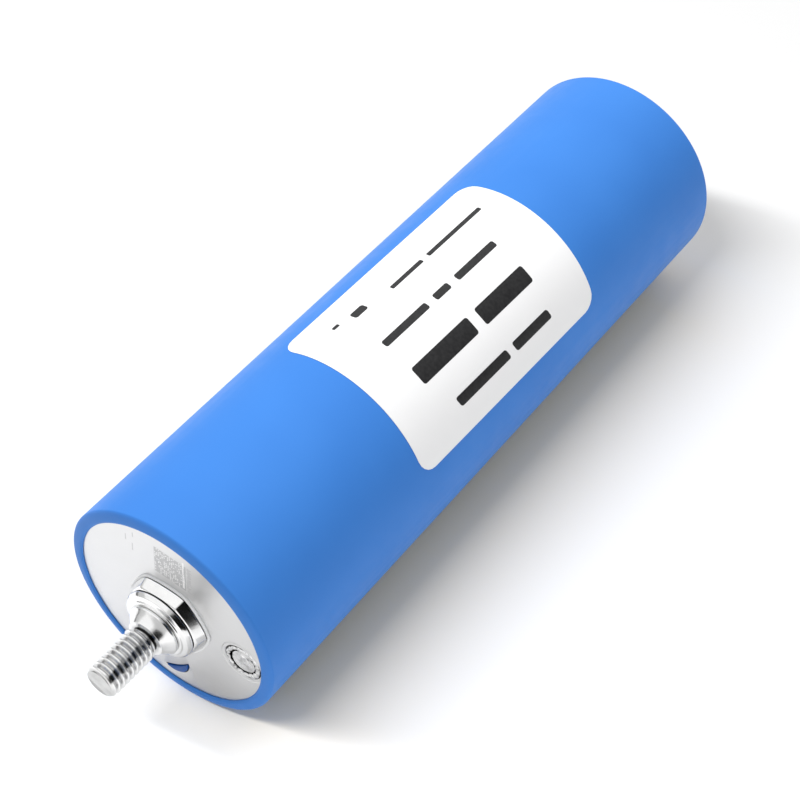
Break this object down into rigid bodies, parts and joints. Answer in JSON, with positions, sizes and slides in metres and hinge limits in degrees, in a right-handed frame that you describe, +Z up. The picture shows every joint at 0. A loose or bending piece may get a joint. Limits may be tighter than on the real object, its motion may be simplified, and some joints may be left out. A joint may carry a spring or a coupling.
{
  "type": "cylindrical battery cell",
  "caption": "Cylindrical lithium cell in a blue shrink sleeve, with an aluminium can, a welded lid, a wound core and a threaded stud terminal.",
  "frame": {"origin": "on the surface that the cell lies on, below the middle of its length from the plain end to the stud's tip", "axes": "the cell lies on its side: -Y along its axis towards the stud, +Z up, +X to the right of the terminal end, where the filling port is"},
  "size_m": [0.04, 0.1468, 0.0401],
  "materials": {
    "sleeve": "satin blue heat-shrink film",
    "label": "white semi-gloss label stock",
    "can": "drawn, satin",
    "lid": "fine satin, lightly brushed",
    "terminal": "polished nickel plate",
    "marker": "dark blue moulded plastic",
    "insulator": "natural white moulded plastic",
    "rubber": "matte black",
    "copper": "bare copper",
    "foil_plate": "rolled",
    "cathode": "matte coated foil",
    "anode": "matte coated foil",
    "separator": "porous white film",
    "tape": "amber film"
  },
  "bodies": {
    "root": {"shrink_sleeve": "sleeve", "label": "label", "can": "can", "top_lid": "lid", "polarity_marker": "marker", "fill_port_cap": "lid", "fill_port_stopper": "rubber", "terminal_insulator": "insulator", "lid_seal": "rubber", "terminal_block": "terminal", "terminal_washer": "terminal", "terminal_stud": "terminal", "terminal_rivet": "copper", "lid_insulator": "insulator", "negative_collector": "copper", "positive_collector": "foil_plate", "bottom_insulator": "insulator", "core_tube": "insulator", "roll_wrap": "tape", "cathode_sheet": "cathode", "inner_separator": "separator", "anode_sheet": "anode", "outer_separator": "separator"}
  },
  "joints": []
}
